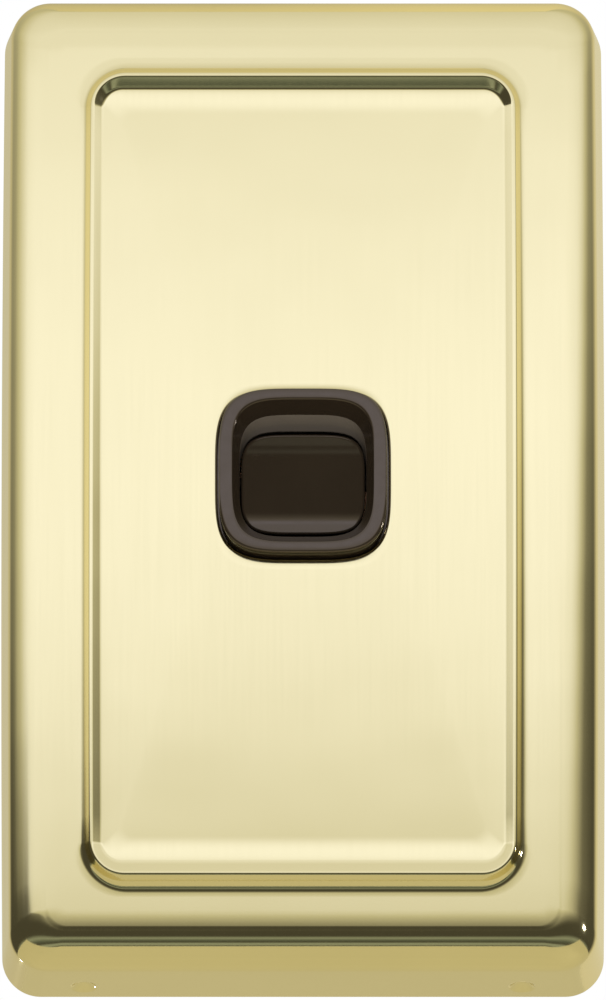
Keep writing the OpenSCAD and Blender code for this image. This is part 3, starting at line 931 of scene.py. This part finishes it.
def make_lamp(name, towards, distance, size, power, mirrored=True):
    """A round lamp in one direction from the switch, shining at it, with or without its mirror image."""
    data = bpy.data.lights.new(name, "AREA")
    data.shape = "DISK"
    data.size = size
    data.energy = power
    lamp = bpy.data.objects.new(name, data)
    lamp.location = Vector(towards).normalized() * distance
    lamp.rotation_mode = "QUATERNION"
    lamp.rotation_quaternion = lamp.location.to_track_quat("Z", "Y")
    lamp.visible_glossy = mirrored
    bpy.context.scene.collection.objects.link(lamp)


CAMERA_DROP = 12.3
CAMERA_FAR = 2.5
CAMERA_END = 20.0
PIXELS_PER_MM = 8.62
IMAGE_H = 1000
AIM = (0.0, -2.77, 15.5)


def make_camera():
    """A long lens below the plate, looking up at it."""
    data = bpy.data.cameras.new("camera")
    camera = bpy.data.objects.new("camera", data)
    drop = math.radians(CAMERA_DROP)
    away = Vector((0, -math.cos(drop), -math.sin(drop)))
    camera.location = place(AIM) + away * CAMERA_FAR
    camera.rotation_mode = "QUATERNION"
    camera.rotation_quaternion = away.to_track_quat("Z", "Y")
    half_view = IMAGE_H / PIXELS_PER_MM * MM / 2
    data.lens = data.sensor_width / 2 * CAMERA_FAR / half_view
    data.clip_end = CAMERA_END
    bpy.context.scene.collection.objects.link(camera)
    bpy.context.scene.camera = camera


# Putting it together

BROWN_SHEEN = (1.0, 0.85, 0.72)

brass = polished_metal("polished_brass", (0.82, 0.735, 0.43), rough=(0.075, 0.1), waves=2.0e-5,
                       streak_way=(2600, 2600, 60), streak_depth=1.5e-7)
brown = moulded_plastic("brown_plastic", (0.018, 0.0125, 0.0075), rough=(0.10, 0.16), ior=1.75,
                        grain=900, depth=1.5e-6, tint=BROWN_SHEEN)
# The well walls' material: a rougher finish, and a colour far lighter than the brown plastic's, which is a
# painted sheen.
satin_painted_sheen = moulded_plastic("satin_brown_painted_sheen", (0.16, 0.133, 0.105), rough=(0.42, 0.5), ior=1.6,
                        grain=1600, depth=3e-6, tint=BROWN_SHEEN)
cream = moulded_plastic("base_plastic", (0.72, 0.68, 0.56), rough=(0.38, 0.5), ior=1.5,
                        grain=1500, depth=6e-6, spread=0.05)
black = moulded_plastic("housing_plastic", (0.022, 0.019, 0.017), rough=(0.32, 0.46), ior=1.55,
                        grain=1300, depth=6e-6)
nylon = moulded_plastic("nylon", (0.74, 0.71, 0.6), rough=(0.3, 0.42), ior=1.52,
                        grain=1800, depth=4e-6, spread=0.05)
steel = machined_metal("zinc_steel", (0.62, 0.63, 0.64), rough=(0.22, 0.36))
# The rocker's pin steel is painted dark, a painted shade, so that the gaps beside the rocker show shade
# and no glint off the pin.
pin_steel_painted_shade = machined_metal("steel_painted_shade", (0.045, 0.036, 0.03), rough=(0.4, 0.55))
copper = machined_metal("contact_copper", (0.8, 0.46, 0.28), rough=(0.2, 0.34))
silver = machined_metal("contact_silver", (0.88, 0.87, 0.84), rough=(0.14, 0.26))
turned_brass = machined_metal("terminal_brass", (0.76, 0.6, 0.3), rough=(0.2, 0.34))

dress(make_cover_plate(), brass)
bezel = make_bezel()
dress(bezel, brown)
dress_well(bezel, satin_painted_sheen)
dress(make_rocker(), brown)
dress(make_spring(), steel)
finishes = {
    cream: ["mounting_base"],
    black: ["mech_housing", "rear_cover"],
    steel: ["rear_cover_screw"],
    pin_steel_painted_shade: ["rocker_pin"],
    nylon: ["plunger"],
    copper: ["contact_lever", "fixed_strip_1", "fixed_strip_2", "common_strip"],
    silver: ["moving_contacts", "fixed_contacts"],
    turned_brass: [n for n in frame["nodes"] if n.startswith("terminal_")],
}
for material, names in finishes.items():
    for name in names:
        dress(name, material)

make_world()
make_floor()
make_lamp("right", towards=(0.96, -0.26, -0.105), distance=1.6, size=0.12, power=3.0)
make_lamp("left", towards=(-0.466, 0.836, -0.309), distance=1.6, size=0.07, power=1.2)
make_lamp("fill", towards=(0.0, -0.94, -0.342), distance=4.0, size=0.3, power=145.0, mirrored=False)
make_camera()
bpy.context.scene.view_settings.view_transform = "Standard"
